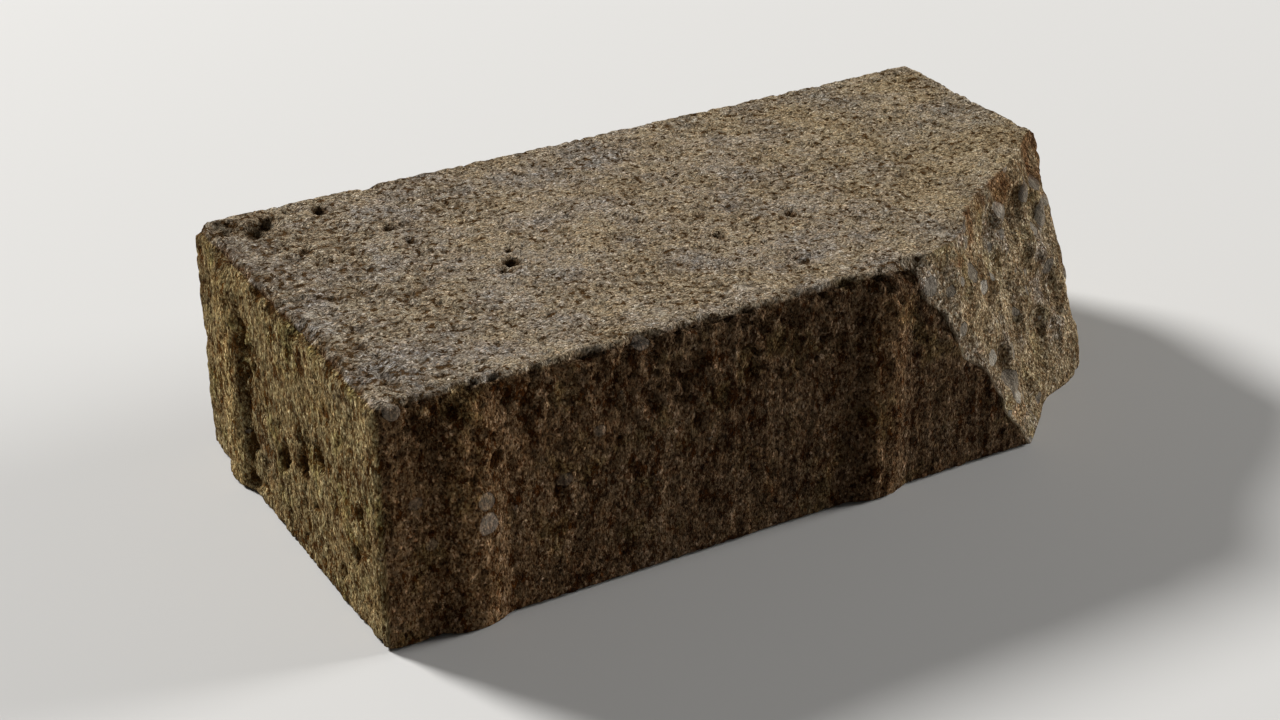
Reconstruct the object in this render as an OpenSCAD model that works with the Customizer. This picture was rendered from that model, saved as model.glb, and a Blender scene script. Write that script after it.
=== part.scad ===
// Concrete paving brick with moulded spacer ribs, its front right corner broken off.
// Origin at the middle of the bed face, +X along the length towards the broken end,
// -Y towards the front long face, +Z up. Millimetres.

/* [Body] */
// Length between the two end faces, without the ribs
body_length = 210; // [180:1:240]
// Width between the two long faces, without the ribs
body_width = 105; // [95:1:130]
// Height from the bed face to the walking face
body_height = 60; // [50:1:80]

/* [Edges] */
// Radius of the four upright corners
corner_radius = 3; // [3:0.5:8]
// Radius that wear has given the edges of the walking face
arris_radius = 2; // [1:0.5:2.5]

/* [Chips] */
// Depth of the deepest of the chips that stand in rows along the worn edges
chip_depth = 1.3; // [0.5:0.1:2]
// Distance between the middles of neighbouring chips
chip_pitch = 13; // [10:0.5:20]
// Radius of the hollow that a chip of middle size leaves
chip_radius = 10; // [6:0.5:14]
// Distance that the rows of chips keep from the corners and from the fracture
chip_clearance = 12; // [8:1:20]

/* [Spacer ribs] */
// Width of a rib where it leaves its face
rib_width = 16.5; // [12:0.5:20]
// Height of a rib's crest above its face
rib_proud = 2.3; // [1:0.1:3.5]
// Distance from the corner on the left of a face to the middle of its first rib
rib_inset = 21.5; // [18:0.5:30]
// Distance between the middles of the two ribs of a long face
rib_pitch = 106.5; // [90:0.5:120]
// Distance from the top of a rib up to the walking face
rib_top_gap = 1; // [0.5:0.5:10]
// Height over which the top of a rib fades into its face
rib_fade = 5; // [3:0.5:12]

/* [Broken corner] */
// Length of the front upper edge that has broken away
break_upper_run = 73; // [50:1:90]
// Length of the front lower edge that has broken away
break_lower_run = 37; // [20:1:45]
// Angle in plan between the fracture and the long faces
break_angle = 33.5; // [25:0.5:45]
// Height of the longest run of swells on the fracture, to either side of its plane
break_swell = 1.6; // [0.5:0.1:3]
// Distance between neighbouring crests of those swells
break_swell_pitch = 46; // [30:1:80]
// Height of the ridges that the fracture has inside its rim
break_ridge = 0.7; // [0.3:0.1:1.5]
// Distance between neighbouring crests of those ridges
break_ridge_pitch = 13; // [10:0.5:20]
// Distance from the rim at which the ridges reach their height
break_rim = 9; // [5:0.5:12]
// Size of the facets that the fracture is made of
break_facet = 4; // [3:0.5:12]

/* [Hidden] */

// How far cutting shapes reach past what they cut
reach = 5;

// A rib is the part of an upright round bar that shows outside its face.
rib_bar_radius = (pow(rib_width / 2, 2) + pow(rib_proud, 2)) / (2 * rib_proud);
rib_bar_depth = rib_bar_radius - rib_proud;
rib_top = body_height - rib_top_gap;

// The fracture plane runs through two points on the edges of the front face.
break_low = [body_length / 2 - break_lower_run, -body_width / 2, 0];
break_high = [body_length / 2 - break_upper_run, -body_width / 2, body_height];
break_along = [cos(break_angle), sin(break_angle), 0];
break_out = unit(cross(break_along, break_high - break_low));
break_up = cross(break_out, break_along);

// The rough face reaches past the ribs at its sides, and past the bed and the walking face.
break_rise = (break_high - break_low) * break_up;
break_shift = (break_high - break_low) * break_along;
break_start = break_shift - rib_proud / sin(break_angle) - 2 * reach;
break_end = break_shift + (break_upper_run + rib_proud) / cos(break_angle) + reach;
break_bottom = (break_lower_run + rib_proud) * break_up.x - reach;
break_top = break_rise + reach;
break_columns = ceil((break_end - break_start) / break_facet);
break_rows = ceil((break_top - break_bottom) / break_facet);
break_depth = break_upper_run + rib_proud;

// The fracture's relief is a sum of swells, which run out over its rim, and of folded waves,
// the ridges, which fade towards it. Each has its pitch and its height as shares of the
// named ones, the heading of its travel from the level line, and its phase.
break_swells = [
    [1.00, 1.00, 15, 50],
    [1.63, 0.53, 45, -116],
    [0.78, 0.39, 15, 125],
    [0.47, 0.12, 100, 20],
    [0.38, 0.10, 160, 80],
    [0.31, 0.09, 50, 200],
    [0.27, 0.08, 125, 310]
];
break_ridges = [
    [1.00, 0.70, 20, 35],
    [1.75, 1.00, 128, 110],
    [1.30, 0.80, 78, 60]
];

// Single chips, each with the point it was struck at, the way out of the concrete there,
// its radius and its depth: the back left corner, a long hollow beside it, the left edge
// and the front edge beside the fracture.
left = -body_length / 2;
single_chips = [
    [[left + 1, body_width / 2 - 2, body_height - 1], unit([-1, 1, 1]), 9, 1.6],
    [[left + 7, body_width / 2 - 9, body_height], unit([-1, 1, 4]), 6, 2.2],
    [[left + 11, body_width / 2 - 12, body_height], unit([1, -1, 4]), 5, 2.6],
    [[left + 15, body_width / 2 - 11, body_height], unit([1, 2, 4]), 4, 1.6],
    [[left + 0.5, -0.10 * body_width, body_height - 0.5], unit([-1, 0, 1]), 6, 2.8],
    [[left + 1.5, -0.14 * body_width, body_height - 0.5], unit([-1, 0, 2]), 5, 1.6],
    [[break_high.x - 2, -body_width / 2 + 0.5, body_height - 2], unit([0, -1, 1]), 8, 1.8]
];

// The ridges wander to either side by a share of their pitch, over a number of pitches.
ridge_wander = 0.3;
ridge_wander_run = 2.6;

// Turn in degrees from one chip of a row to the next, from which their unevenness comes.
chip_turn = 137.5;

concrete_colour = [0.46, 0.39, 0.29];
arc_segments = 96;

function unit(v) = v / norm(v);

// Points of the fracture plane, by the distance along it and the distance up it.
function break_flat(along, up) = break_low + break_along * along + break_up * up;

// Height of the fracture above its plane at such a point.
function break_height(along, up) =
    break_swell * sum([
        for (wave = break_swells) wave[1] * sin(360 * travel(wave, along, up) / break_swell_pitch + wave[3])
    ])
    + break_ridge * inside_rim(along, up) * sum([
        for (wave = break_ridges)
            let (run = travel(wave, along + wander(up), up + wander(along)))
                wave[1] * (1 - 2 * abs(sin(180 * run / break_ridge_pitch + wave[3])))
    ]);
function travel(wave, along, up) = (along * cos(wave[2]) + up * sin(wave[2])) / wave[0];
function wander(run) =
    ridge_wander * break_ridge_pitch * sin(360 * run / (ridge_wander_run * break_ridge_pitch));
function sum(list) = list * [for (item = list) 1];

// Share of their height that the ridges have: 0 on the rim of the fracture, 1 well inside it.
function inside_rim(along, up) = smooth_step(min(
    up,
    break_rise - up,
    along - break_shift * up / break_rise,
    (break_lower_run - up * break_up.x) / cos(break_angle) - along
) / break_rim);
function smooth_step(share) = let (t = min(max(share, 0), 1)) t * t * (3 - 2 * t);

// The faceted face has its points in columns and rows.
function break_index(column, row) = column * (break_rows + 1) + row;
function column_at(column) = break_start + (break_end - break_start) * column / break_columns;
function row_at(row) = break_bottom + (break_top - break_bottom) * row / break_rows;

// Upright section across the body, with its two upper corners worn round.
module worn_section(span) {
    translate([-span / 2, 0]) square([span, body_height - arris_radius]);
    translate([-span / 2 + arris_radius, 0]) square([span - 2 * arris_radius, body_height]);
    for (side = [-1, 1])
        translate([side * (span / 2 - arris_radius), body_height - arris_radius])
            circle(r = arris_radius, $fn = arc_segments);
}

// Half of the section through an upright corner, to be turned about its axis.
module worn_corner_section() {
    square([corner_radius, body_height - arris_radius]);
    square([corner_radius - arris_radius, body_height]);
    intersection() {
        translate([corner_radius - arris_radius, body_height - arris_radius])
            circle(r = arris_radius, $fn = arc_segments);
        square([corner_radius, body_height]);
    }
}

// The pressed block before ribs and damage.
module block() {
    straight_length = body_length - 2 * corner_radius;
    straight_width = body_width - 2 * corner_radius;
    rotate([90, 0, 90]) linear_extrude(straight_length, center = true) worn_section(body_width);
    rotate([90, 0, 0]) linear_extrude(straight_width, center = true) worn_section(body_length);
    for (x = [-1, 1], y = [-1, 1])
        translate([x * straight_length / 2, y * straight_width / 2, 0])
            rotate_extrude($fn = arc_segments) worn_corner_section();
}

// One spacer rib on the face at y = 0 that looks along -Y, its middle at x = 0.
module rib() {
    straight = rib_top - rib_fade;
    translate([0, rib_bar_depth, 0]) {
        cylinder(h = straight, r = rib_bar_radius, $fn = arc_segments);
        translate([0, 0, straight])
            cylinder(h = rib_fade, r1 = rib_bar_radius, r2 = rib_bar_depth, $fn = arc_segments);
    }
}

// Ribs of a long and a short face that meet, the same on both halves of the brick,
// so that the ribs of neighbouring bricks never meet crest to crest.
module ribs() {
    for (half_turn = [0, 180]) rotate(half_turn) {
        for (at = [rib_inset, rib_inset + rib_pitch])
            translate([-body_length / 2 + at, -body_width / 2, 0]) rib();
        translate([-body_length / 2, body_width / 2 - rib_inset, 0]) rotate(-90) rib();
    }
}

// The hollow of a chip: a ball that reaches to the chip's depth behind the point it was
// struck at. Its seam is turned away from the concrete.
module chip(at, out, radius, depth) {
    translate(at + out * (radius - depth))
        rotate(atan2(out.y, out.x))
            sphere(r = radius, $fn = arc_segments);
}

// A row of chips along a worn edge, from a point on it. Each stands within the middle half
// of its share of the row, has 0.8 to 1.2 of the radius, and 0.3 to all of the depth.
module chip_row(from, along, run, out, phase) {
    count = floor(run / chip_pitch);
    for (i = [0 : count - 1])
        chip(
            from + along * run * (i + 0.25 + 0.5 * uneven(2 * i, phase)) / count,
            out,
            chip_radius * (0.8 + 0.4 * uneven(3 * i, phase)),
            chip_depth * (0.3 + 0.7 * uneven(i, phase))
        );
}
function uneven(number, phase) = abs(sin(chip_turn * number + phase));

// Rows along the four worn edges, clear of the corners and of the fracture.
module chips() {
    worn = arris_radius * (1 - cos(45));
    x = body_length / 2 - worn;
    y = body_width / 2 - worn;
    z = body_height - worn;
    break_right = -body_width / 2 + break_upper_run * tan(break_angle);
    front_run = break_high.x + x - 2 * chip_clearance;
    right_run = y - break_right - 2 * chip_clearance;
    chip_row([-x + chip_clearance, -y, z], [1, 0, 0], front_run, unit([0, -1, 1]), 40);
    chip_row([-x + chip_clearance, y, z], [1, 0, 0], 2 * (x - chip_clearance), unit([0, 1, 1]), 155);
    chip_row([-x, -y + chip_clearance, z], [0, 1, 0], 2 * (y - chip_clearance), unit([-1, 0, 1]), 290);
    chip_row([x, break_right + chip_clearance, z], [0, 1, 0], right_run, unit([1, 0, 1]), 75);
    for (single = single_chips) chip(single[0], single[1], single[2], single[3]);
}

// What the fracture took away: a block whose inner face is uneven.
module broken_away() {
    places = [for (c = [0 : break_columns], r = [0 : break_rows]) [column_at(c), row_at(r)]];
    near = [for (at = places) break_flat(at.x, at.y) + break_out * break_height(at.x, at.y)];
    far = [for (at = places) break_flat(at.x, at.y) + break_out * break_depth];
    skip = len(near);
    cells = [for (c = [0 : break_columns - 1], r = [0 : break_rows - 1]) [c, r]];
    rim = concat(
        [for (c = [0 : break_columns - 1]) break_index(c, 0)],
        [for (r = [0 : break_rows - 1]) break_index(break_columns, r)],
        [for (c = [break_columns : -1 : 1]) break_index(c, break_rows)],
        [for (r = [break_rows : -1 : 1]) break_index(0, r)]
    );
    near_faces = [for (cell = cells) each let (
        a = break_index(cell.x, cell.y),
        b = break_index(cell.x + 1, cell.y),
        c = break_index(cell.x + 1, cell.y + 1),
        d = break_index(cell.x, cell.y + 1)
    ) [[a, b, c], [a, c, d]]];
    far_face = [for (i = [len(rim) - 1 : -1 : 0]) rim[i] + skip];
    walls = [for (i = [0 : len(rim) - 1]) each let (
        p = rim[i],
        q = rim[(i + 1) % len(rim)]
    ) [[q, p, p + skip], [q, p + skip, q + skip]]];
    polyhedron(points = concat(near, far), faces = concat(near_faces, [far_face], walls));
}

module brick() {
    color(concrete_colour)
        difference() {
            union() {
                block();
                ribs();
            }
            broken_away();
            chips();
        }
}

brick();
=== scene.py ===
# %% [markdown]
# # A broken concrete paving brick
#
# The brick was pressed in a mould from a dry mix of cement, sand and small stones, and years
# of weather have worn it. The packed solid gives its true outline: the block, its spacer ribs,
# the chips of its upper edges and the broken corner. This lesson puts one dense skin in place
# of that solid and works the grain, pits, chips and stones into it.

import bpy
import numpy as np
from mathutils import Matrix, Vector


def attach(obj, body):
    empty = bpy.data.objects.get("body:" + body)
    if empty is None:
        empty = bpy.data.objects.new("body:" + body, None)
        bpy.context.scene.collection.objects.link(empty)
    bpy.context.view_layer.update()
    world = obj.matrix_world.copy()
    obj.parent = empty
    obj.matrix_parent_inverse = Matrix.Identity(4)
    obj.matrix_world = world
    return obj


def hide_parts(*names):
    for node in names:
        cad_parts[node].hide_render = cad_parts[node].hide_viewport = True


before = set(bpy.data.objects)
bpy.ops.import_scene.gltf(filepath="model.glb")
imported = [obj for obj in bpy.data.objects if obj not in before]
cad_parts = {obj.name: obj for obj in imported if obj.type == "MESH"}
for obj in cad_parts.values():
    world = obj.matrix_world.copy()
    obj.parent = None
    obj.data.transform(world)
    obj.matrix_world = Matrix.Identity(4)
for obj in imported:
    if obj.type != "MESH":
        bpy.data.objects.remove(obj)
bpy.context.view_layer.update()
MM = 0.001

# %% [markdown]
# ## Chance that repeats
#
# Sand and stones lie at random, yet the brick has to come out the same on every run. So no
# random generator is kept: each place of a lattice makes its own number from its three
# indices and a seed. Two fields are built on that. One swells and sinks softly, the other
# strews seeds through space, one to a cell, and tells how far the nearest seed is.

# %% Lattice numbers
def lattice_number(place, seed):
    """Number from 0 to 1 of each lattice place: its three whole indices and the seed are
    multiplied by large odd numbers, joined by exclusive or, stirred by shifts, and scaled."""
    i = place.astype(np.int64).astype(np.uint32)
    h = i[..., 0] * np.uint32(0x8DA6B343) ^ i[..., 1] * np.uint32(0xD8163841)
    h = h ^ i[..., 2] * np.uint32(0xCB1AB31F) ^ np.uint32(seed * 0x9E3779B1 & 0xFFFFFFFF)
    for shift, factor in ((16, 0x7FEB352D), (15, 0x846CA68B), (16, 1)):
        h = (h ^ (h >> np.uint32(shift))) * np.uint32(factor)
    return h / 2.0 ** 32

def swell(points, size, seed):
    """Soft noise of about -1 to 1: each lattice corner has a random slope, and the heights
    that the eight slopes around a point give there are blended by a smooth step."""
    q = points / size
    base = np.floor(q)
    f = q - base
    blend = f * f * f * (f * (f * 6 - 15) + 10)
    total = np.zeros(len(points))
    for corner in np.ndindex(2, 2, 2):
        corner = np.array(corner)
        slope = np.stack([lattice_number(base + corner, seed + k) for k in range(3)], -1) * 2 - 1
        weight = np.prod(np.where(corner == 1, blend, 1 - blend), -1)
        total += weight * np.sum(slope * (f - corner), -1)
    return total * 1.3

def strewn(points, pitch, seed):
    """Distance to the nearest and to the second nearest strewn seed, and the nearest one's own
    number: every cubic cell of the pitch holds one seed, and the 27 cells around are tried."""
    q = points / pitch
    base = np.floor(q)
    near = np.full(len(points), 9.0)
    second = np.full(len(points), 9.0)
    tone = np.zeros(len(points))
    for step in np.ndindex(3, 3, 3):
        place = base + (np.array(step) - 1)
        jitter = np.stack([lattice_number(place, seed + k) for k in range(3)], -1)
        d = np.linalg.norm(q - place - jitter, axis=-1)
        closer = d < near
        second = np.where(closer, near, np.minimum(second, d))
        tone = np.where(closer, lattice_number(place, seed + 7), tone)
        near = np.where(closer, d, near)
    return near * pitch, second * pitch, tone

def ease(low, high, value):
    """Smooth step: 0 up to low, 1 from high on, and 3 t t - 2 t t t between them."""
    t = np.clip((value - low) / (high - low), 0, 1)
    return t * t * (3 - 2 * t)

def drawn_tall(points, share):
    """Points with their heights pressed to a share, so that what is strewn on them stands tall."""
    return points * [1, 1, share]

probe = swell(np.linspace(-100, 100, 4000)[:, None] * [1.0, 0.7, 0.4], 9, 1)
print("swell from %.2f to %.2f" % (probe.min(), probe.max()))

# %% [markdown]
# ## The block and its ribs
#
# The sizes are those of the packed solid, in millimetres. A rib is what shows of an upright
# round bar sunk into a face, and its top fades out as a cone does. Seen from outside, each
# face has its first rib near its left corner, and the long faces have a second one.

# %% Sizes and ribs
HALF_X, HALF_Y, HEIGHT = 105.0, 52.5, 60.0
CORNER, ARRIS, FOOT = 3.0, 2.0, 0.9
RIB_WIDTH, RIB_PROUD, RIB_INSET, RIB_PITCH = 16.5, 2.3, 21.5, 106.5
RIB_TOP, RIB_FADE = 59.0, 5.0

def rib(offset, z):
    """Height of a rib above its face: the bar's radius, less what the cone has taken at this
    height, gives a circle, and what lies above the face is that circle less the sunk depth."""
    radius = (RIB_WIDTH ** 2 / 4 + RIB_PROUD ** 2) / (2 * RIB_PROUD)
    taken = RIB_PROUD * np.clip((z - RIB_TOP + RIB_FADE) / RIB_FADE, 0, 1)
    circle = np.sqrt(np.maximum((radius - taken) ** 2 - offset ** 2, 0))
    return np.maximum(circle - (radius - RIB_PROUD), 0)

def long_rib(x, z):
    """Ribs of the front face by the distance along it, the back face being the same turned."""
    from_left = x + HALF_X
    return rib(from_left - RIB_INSET, z) + rib(from_left - RIB_INSET - RIB_PITCH, z)

def end_rib(y, z):
    """Rib of the right end by the distance along it, the left end being the same turned."""
    return rib(y + HALF_Y - RIB_INSET, z)

print("rib crest %.2f mm" % long_rib(np.array([RIB_INSET - HALF_X]), np.array([HEIGHT / 2]))[0])

# %% [markdown]
# ## The broken corner
#
# The corner came off along a slanting plane that crosses the front face further left at the
# top than at the foot. The packed solid swells that plane by a sum of waves, and inside the
# rim it adds folded waves, which have sharp crests as broken concrete does. The same waves
# are used here, so that skin and solid agree. A point is moved level, along the front face at
# one side of the fracture and along the end face at the other, so that the fracture's rim
# stays on the faces that it breaks.

# %% Fracture
UPPER_RUN, LOWER_RUN, BREAK_SLANT = 73.0, 37.0, np.radians(33.5)
SWELL_HEIGHT, SWELL_PITCH = 1.6, 46.0
RIDGE_HEIGHT, RIDGE_PITCH, RIM_WIDTH = 0.7, 13.0, 9.0
WANDER, WANDER_RUN = 0.3 * RIDGE_PITCH, 2.6 * RIDGE_PITCH
# Each wave has a pitch and a height as shares, then a heading and a phase in degrees.
SWELLS = [(1.00, 1.00, 15, 50), (1.63, 0.53, 45, -116), (0.78, 0.39, 15, 125), (0.47, 0.12, 100, 20),
          (0.38, 0.10, 160, 80), (0.31, 0.09, 50, 200), (0.27, 0.08, 125, 310)]
RIDGES = [(1.00, 0.70, 20, 35), (1.75, 1.00, 128, 110), (1.30, 0.80, 78, 60)]
break_low = np.array([HALF_X - LOWER_RUN, -HALF_Y, 0.0])
break_high = np.array([HALF_X - UPPER_RUN, -HALF_Y, HEIGHT])
break_along = np.array([np.cos(BREAK_SLANT), np.sin(BREAK_SLANT), 0.0])
break_out = np.cross(break_along, break_high - break_low)
break_out /= np.linalg.norm(break_out)
break_up = np.cross(break_out, break_along)
break_rise = (break_high - break_low) @ break_up
break_shift = (break_high - break_low) @ break_along

def in_plane(points):
    """Distances of points along the fracture plane and up it."""
    return (points - break_low) @ break_along, (points - break_low) @ break_up

def inside_rim(along, up):
    """Share that is 0 on the rim of the fracture and 1 well inside it: a smooth step of the
    distance from the nearest of its four sides."""
    right = (LOWER_RUN - up * break_up[0]) / np.cos(BREAK_SLANT)
    front = break_shift * up / break_rise
    return ease(0, RIM_WIDTH, np.minimum.reduce([up, break_rise - up, along - front, right - along]))

def angle(along, up, pitch, heading, phase, turn):
    """Angle of a wave: a turn for each pitch travelled along its heading, plus its phase."""
    heading = np.radians(heading)
    return turn * (along * np.cos(heading) + up * np.sin(heading)) / pitch + np.radians(phase)

def break_swell(points):
    """Height of the fracture above its plane: the sum of sine waves that run across it, plus
    the sum of ridges, each 1 less twice the size of a sine, along lines that wander."""
    along, up = in_plane(points)
    swells = sum(height * np.sin(angle(along, up, pitch * SWELL_PITCH, heading, phase, 2 * np.pi))
                 for pitch, height, heading, phase in SWELLS)
    a = along + WANDER * np.sin(2 * np.pi * up / WANDER_RUN)
    u = up + WANDER * np.sin(2 * np.pi * along / WANDER_RUN)
    ridges = sum(height * (1 - 2 * np.abs(np.sin(angle(a, u, pitch * RIDGE_PITCH, heading, phase, np.pi))))
                 for pitch, height, heading, phase in RIDGES)
    return SWELL_HEIGHT * swells + RIDGE_HEIGHT * inside_rim(along, up) * ridges

def break_depth(points):
    """Distance of points in front of the swollen fracture, negative inside the brick."""
    return (points - break_low) @ break_out - break_swell(points)

def fracture(z, columns):
    """Grid of the fracture: at each height the line between its front and its right end, found
    on the ribbed faces, then moved level by swell over how squarely that move meets the plane."""
    z = z[:, None] * np.ones(columns + 1)
    u = np.linspace(0, 1, columns + 1) * np.ones_like(z)
    front_x = HALF_X - LOWER_RUN - (UPPER_RUN - LOWER_RUN) * z / HEIGHT
    front_y, right_x = np.full_like(z, -HALF_Y), np.full_like(z, HALF_X)
    heading = np.stack([1 - u, -u, 0 * u], -1)
    heading /= np.linalg.norm(heading, axis=-1, keepdims=True)
    points = np.stack([front_x, front_y, z], -1)
    for _ in range(12):
        start = front_x + (front_y + HALF_Y) / np.tan(BREAK_SLANT)
        end = -HALF_Y + (right_x - front_x) * np.tan(BREAK_SLANT)
        flat = np.stack([start + (right_x - start) * u, front_y + (end - front_y) * u, z], -1)
        points = flat + heading * (break_swell(points) / (heading @ break_out))[..., None]
        front_y = np.broadcast_to(-HALF_Y - long_rib(points[:, :1, 0], z[:, :1]), z.shape)
        right_x = np.broadcast_to(HALF_X + end_rib(points[:, -1:, 1], z[:, :1]), z.shape)
    return points

rim = fracture(np.array([0.0, HEIGHT]), 4).round(1)
print("fracture rim at the foot", rim[0, 0], rim[0, -1], "and top", rim[1, 0], rim[1, -1])

# %% [markdown]
# ## One skin
#
# The side of the brick is a closed outline carried up the height: front, fracture, right end,
# back and left end. The outline's points keep their order from row to row, so the front grows
# as the fracture leans back. The top is a patch stretched between the four stretches of the
# last row. The bed lies on the ground, so its patch has half as many points each way, and a
# strip of triangles joins the two.

# %% Grid of the skin
N_LONG, N_SHORT, ROWS = 256, 128, 74
N_FRONT, N_RIGHT = 188, 84
N_BREAK = (N_LONG - N_FRONT) + (N_SHORT - N_RIGHT)
RING = 2 * (N_LONG + N_SHORT)

def side_rows(z):
    """Outline of the brick at each height: straight runs between the corners and the fracture's
    ends, pushed out by the ribs, with the fracture's own grid between front and right end."""
    broken = fracture(z, N_BREAK)
    def run(first, last, count):
        """Straight run of points between two ends, without the last one."""
        t = (np.arange(count) / count)[None, :, None]
        return first[:, None, :] * (1 - t) + last[:, None, :] * t
    def corner(x, y):
        """Upright line of points at a corner."""
        return np.stack([np.full_like(z, x), np.full_like(z, y), z], -1)
    front = run(corner(-HALF_X, -HALF_Y), broken[:, 0], N_FRONT)
    right = run(broken[:, -1], corner(HALF_X, HALF_Y), N_RIGHT)
    back = run(corner(HALF_X, HALF_Y), corner(-HALF_X, HALF_Y), N_LONG)
    left = run(corner(-HALF_X, HALF_Y), corner(-HALF_X, -HALF_Y), N_SHORT)
    front[..., 1] = -HALF_Y - long_rib(front[..., 0], front[..., 2])
    right[..., 0] = HALF_X + end_rib(right[..., 1], right[..., 2])
    back[..., 1] = HALF_Y + long_rib(-back[..., 0], back[..., 2])
    left[..., 0] = -HALF_X - end_rib(-left[..., 1], left[..., 2])
    return np.concatenate([front, broken[:, :-1], right, back, left], 1)

def patch_between(ring, n_long, n_short):
    """Patch inside a closed outline of four stretches: the blend of its two long stretches plus
    that of its two short ones, less the blend of its four corners."""
    low, high = ring[:n_long + 1], ring[n_long + n_short:2 * n_long + n_short + 1][::-1]
    start = np.concatenate([ring[2 * n_long + n_short:], ring[:1]])[::-1]
    end = ring[n_long:n_long + n_short + 1]
    u = np.linspace(0, 1, n_long + 1)[None, :, None]
    v = np.linspace(0, 1, n_short + 1)[:, None, None]
    across = low[None] * (1 - v) + high[None] * v
    along = start[:, None] * (1 - u) + end[:, None] * u
    corners = (low[0] * (1 - u) + low[-1] * u) * (1 - v) + (high[0] * (1 - u) + high[-1] * u) * v
    return across + along - corners

def patch_numbers(ring_numbers, n_long, n_short, first_new):
    """Point numbers of such a patch: the outline's on its rim and new ones inside it."""
    numbers = np.empty((n_short + 1, n_long + 1), int)
    new = np.arange((n_short - 1) * (n_long - 1)).reshape(n_short - 1, n_long - 1)
    numbers[1:-1, 1:-1] = first_new + new
    numbers[0] = ring_numbers[:n_long + 1]
    numbers[:, -1] = ring_numbers[n_long:n_long + n_short + 1]
    numbers[-1] = ring_numbers[n_long + n_short:2 * n_long + n_short + 1][::-1]
    numbers[:, 0] = np.concatenate([ring_numbers[2 * n_long + n_short:], ring_numbers[:1]])[::-1]
    return numbers

def cells(numbers):
    """Four-sided faces of a grid of point numbers."""
    here, beside = numbers[:-1, :-1], numbers[:-1, 1:]
    above, across = numbers[1:, :-1], numbers[1:, 1:]
    return np.stack([here, beside, across, above], -1).reshape(-1, 4)

print("outline of", RING, "points in", ROWS + 1, "rows")

# %% [markdown]
# All points go into one list, and the faces name them by number. The bed's patch lies inside
# the foot's outline and is turned over, so that it faces down.

# %% Points and faces
side = side_rows(np.linspace(0, HEIGHT, ROWS + 1))
top = patch_between(side[-1], N_LONG, N_SHORT)
BED_SHARE = [0.965, 0.94, 1]
bed_rim = side[0, ::2] * BED_SHARE
bed = patch_between(bed_rim, N_LONG // 2, N_SHORT // 2)

side_numbers = np.arange((ROWS + 1) * RING).reshape(ROWS + 1, RING)
top_numbers = patch_numbers(side_numbers[-1], N_LONG, N_SHORT, side_numbers.size)
rim_numbers = side_numbers.size + (N_LONG - 1) * (N_SHORT - 1) + np.arange(RING // 2)
bed_numbers = patch_numbers(rim_numbers, N_LONG // 2, N_SHORT // 2, rim_numbers[-1] + 1)

flat_skin = np.concatenate([side.reshape(-1, 3), top[1:-1, 1:-1].reshape(-1, 3), bed_rim,
                            bed[1:-1, 1:-1].reshape(-1, 3)])
wrapped = np.concatenate([side_numbers, side_numbers[:, :1]], 1)
quads = np.concatenate([cells(wrapped), cells(top_numbers), cells(bed_numbers)[:, ::-1]])
foot, foot_between = side_numbers[0, ::2], side_numbers[0, 1::2]
foot_next, rim_next = np.roll(foot, -1), np.roll(rim_numbers, -1)
strip = np.concatenate([np.stack(corners, -1) for corners in (
    (foot, rim_numbers, foot_between), (foot_between, rim_numbers, rim_next),
    (foot_between, rim_next, foot_next))])
print(len(flat_skin), "points,", 2 * len(quads) + len(strip), "triangles")

# %% [markdown]
# ## Worn edges
#
# Wear rounds what stands out. Each point near two faces at once is drawn towards the edge's
# inner line, by the ratio of its largest distance to its straight distance from that line, so
# that a square edge becomes a quarter round and everything further in stays where it is.

# %% Round the edges
def rounded(points):
    """Points with the edges of the block worn round, the foot much less than the top, and how far
    each lies into an edge: the middle one of its three shares of the rounding."""
    low = np.array([-HALF_X + CORNER, -HALF_Y + CORNER, FOOT])
    high = np.array([HALF_X - CORNER, HALF_Y - CORNER, HEIGHT - ARRIS])
    core = np.clip(points, low, high)
    reach = np.where(points[:, 2:] < FOOT, [CORNER, CORNER, FOOT], [CORNER, CORNER, ARRIS])
    away = np.abs(points - core) / reach
    length = np.linalg.norm(away, axis=1)
    ratio = np.where(length > 0, away.max(1) / np.maximum(length, 1e-9), 1)
    return core + (points - core) * ratio[:, None], np.sort(away, 1)[:, 1]

def outward(points):
    """Unit normal at each point: the sum over the faces around it of their crossed diagonals, or
    crossed sides for triangles, made one long."""
    a, b, c, d = (points[corner] for corner in quads.T)
    quad_cross = np.cross(c - a, d - b)
    a, b, c = (points[corner] for corner in strip.T)
    strip_cross = np.cross(b - a, c - a)
    total = np.zeros_like(points)
    for faces, vector in ((quads, quad_cross), (strip, strip_cross)):
        for corner in faces.T:
            for k in range(3):
                total[:, k] += np.bincount(corner, vector[:, k], len(points))
    return total / np.linalg.norm(total, axis=1, keepdims=True)

skin, edge = rounded(flat_skin)
facing = outward(skin)
print("worn edges hold", int((edge > 0.2).sum()), "points")

# %% [markdown]
# ## Where is what
#
# The kinds of surface differ on the real brick. The walking face is rubbed flat and full of
# small holes, the long sides are coarse, the ends are finer and yellow, the fracture shows the
# inside, and the bed is kept plain. Each kind gets a weight from 0 to 1 at every point.

# %% Kinds of surface
column = np.concatenate([np.tile(np.arange(RING), ROWS + 1), np.full(len(skin) - side.size // 3, -1)])
broken = ((column >= N_FRONT) & (column <= N_FRONT + N_BREAK)).astype(float)
walked = ease(0.60, 0.90, facing[:, 2]) * (1 - broken)
bedded = ease(0.5, 0.9, -facing[:, 2]) * (1 - broken)
ended = ease(0.60, 0.85, np.abs(facing[:, 0])) * (1 - broken)
sided = np.clip(1 - broken - walked - bedded - ended, 0, 1)
behind = break_depth(skin)
for name, kind in (("walked", walked), ("sided", sided), ("ended", ended), ("broken", broken),
                   ("bedded", bedded)):
    print(name, int(kind.sum()), "points")

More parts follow.
